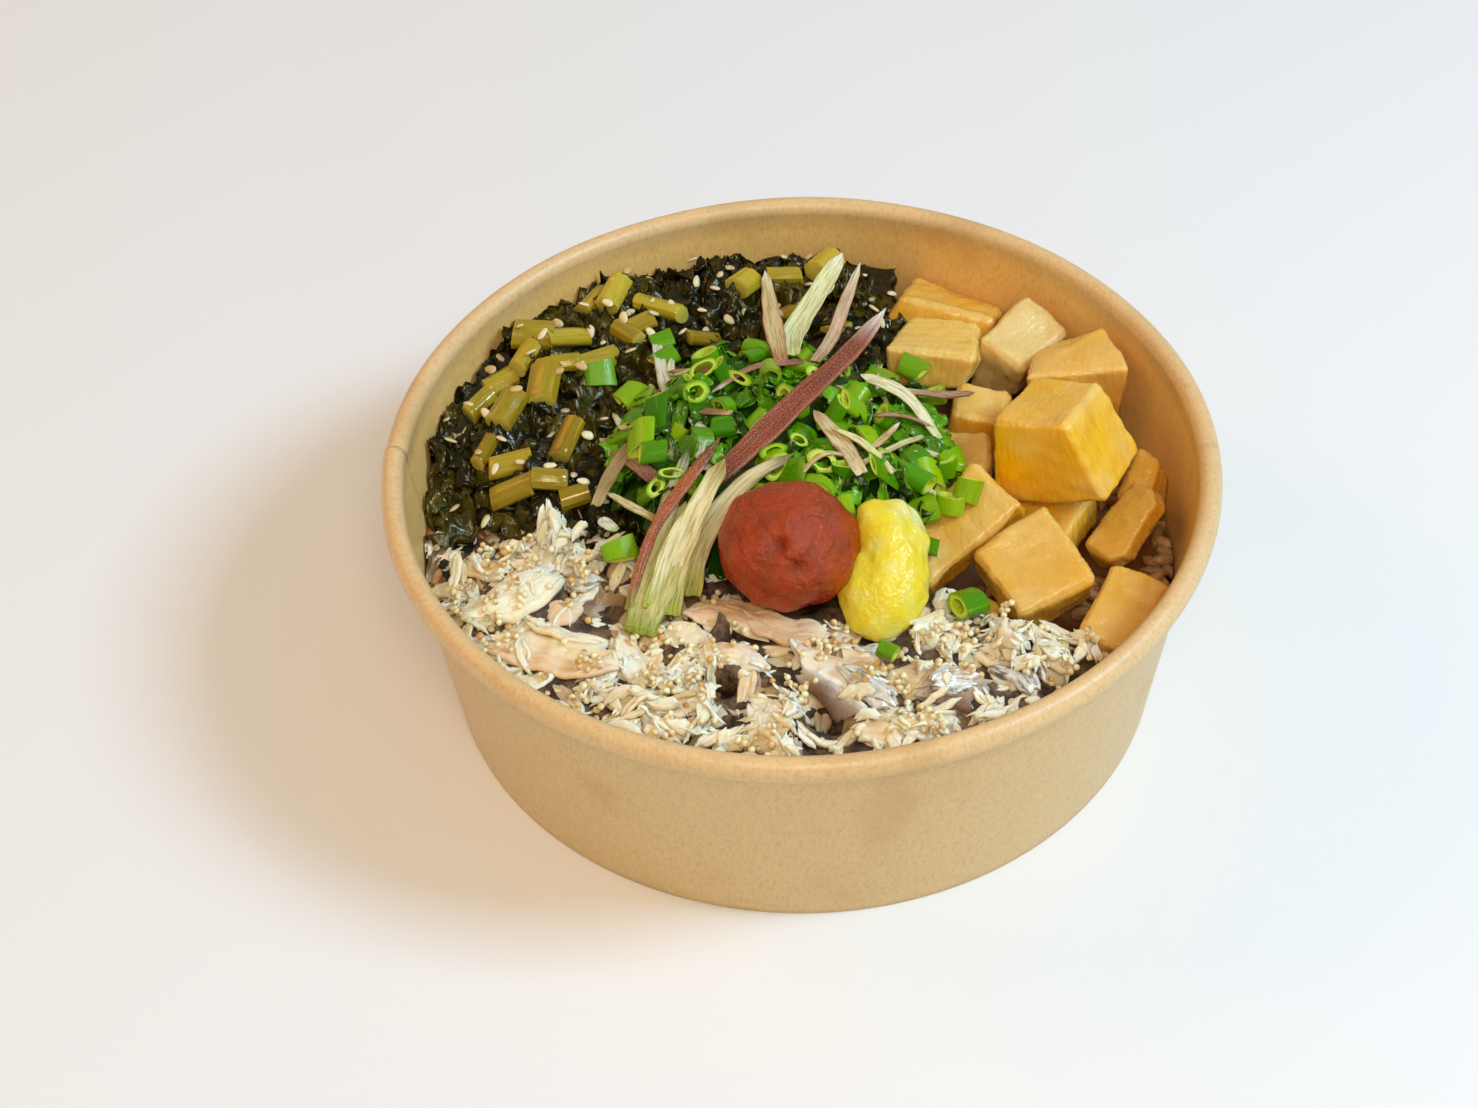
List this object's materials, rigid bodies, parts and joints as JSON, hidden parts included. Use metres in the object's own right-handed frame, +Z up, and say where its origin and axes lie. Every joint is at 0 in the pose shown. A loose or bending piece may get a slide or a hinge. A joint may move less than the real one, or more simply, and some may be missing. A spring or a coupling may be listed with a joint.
{
  "type": "mackerel rice bowl",
  "caption": "Round kraft-paper takeaway bowl of rice topped with flaked mackerel, pickled greens, simmered daikon, a salted plum, yellow paste, scallions and ginger strips.",
  "frame": {"origin": "centre of the bowl's foot ring, on the table", "axes": "+Z up out of the bowl, -Y towards the mackerel, +X towards the daikon"},
  "size_m": [0.165, 0.165, 0.0638],
  "materials": {
    "kraft_paper": "brown kraft paper with fine fibres, thinly coated",
    "rice": "moist cooked rice, tinted brown by the sauce",
    "nori": "black-green toasted seaweed sheet",
    "mackerel": "flaked grilled fish, cream white with brown and silver skin",
    "greens": "wet dark pickled leaves with olive stems and sesame",
    "daikon": "simmered radish, amber and slightly translucent",
    "plum": "wrinkled wet red-brown skin",
    "paste": "smooth wet yellow paste",
    "scallion": "fresh cut green rings and shreds",
    "ginger": "cream strips with red edges"
  },
  "bodies": {
    "root": {"bowl": "kraft_paper", "rice": "rice", "nori": "nori", "mackerel": "mackerel", "greens": "greens", "daikon_01": "daikon", "daikon_02": "daikon", "daikon_03": "daikon", "daikon_04": "daikon", "daikon_05": "daikon", "daikon_06": "daikon", "daikon_07": "daikon", "daikon_08": "daikon", "daikon_09": "daikon", "daikon_10": "daikon", "daikon_11": "daikon", "daikon_12": "daikon", "daikon_13": "daikon", "daikon_14": "daikon", "plum": "plum", "paste": "paste", "scallion_heap": "scallion", "ginger_red": "ginger", "ginger_fan_left": "ginger", "ginger_fan_middle": "ginger", "ginger_fan_right": "ginger", "ginger_pink": "ginger", "ginger_tan": "ginger", "ginger_pale": "ginger", "ginger_blush": "ginger", "ginger_curved": "ginger", "ginger_thin": "ginger", "ginger_brown": "ginger", "ginger_edge": "ginger", "ginger_back": "ginger"}
  },
  "joints": []
}
